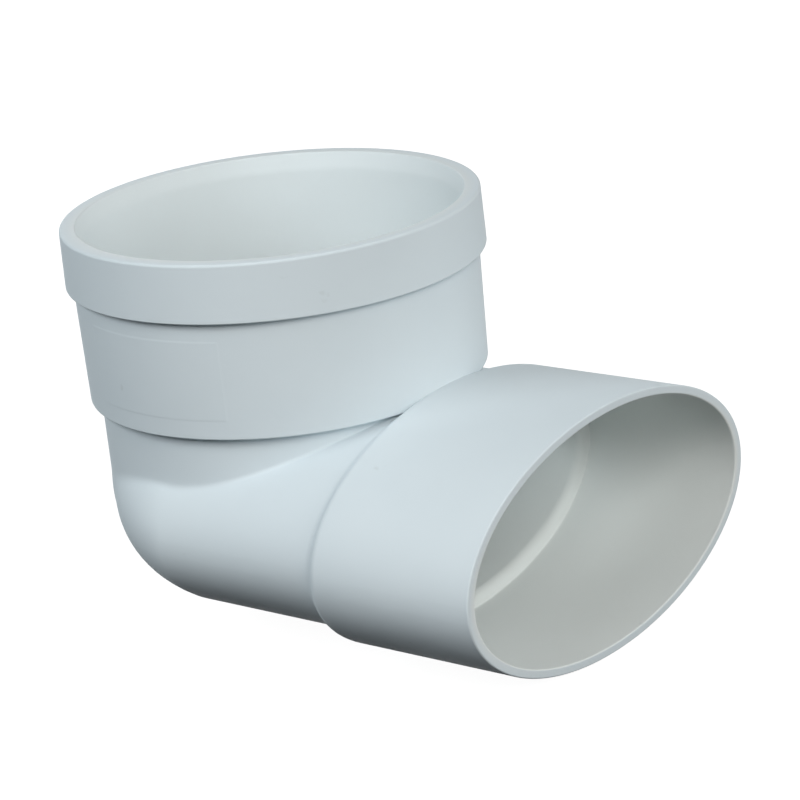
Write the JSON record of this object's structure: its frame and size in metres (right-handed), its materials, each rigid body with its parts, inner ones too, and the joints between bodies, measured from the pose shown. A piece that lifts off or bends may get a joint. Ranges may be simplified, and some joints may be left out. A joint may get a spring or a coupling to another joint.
{
  "type": "toilet offset connector",
  "caption": "White moulded plastic drain elbow that turns a round pipe socket with a thick collar, through a short neck, into a flat oval socket leaving sideways.",
  "frame": {"origin": "on the axis of the round socket, in the plane of its pipe stop", "axes": "+Z runs out of the round mouth, +X runs out of the oval mouth, and the part is mirrored across the plane through both"},
  "size_m": [0.1727, 0.134, 0.1191],
  "materials": {
    "plastic": "satin moulded surface, very pale blue-white"
  },
  "bodies": {
    "root": {"offset_connector": "plastic"}
  },
  "joints": []
}
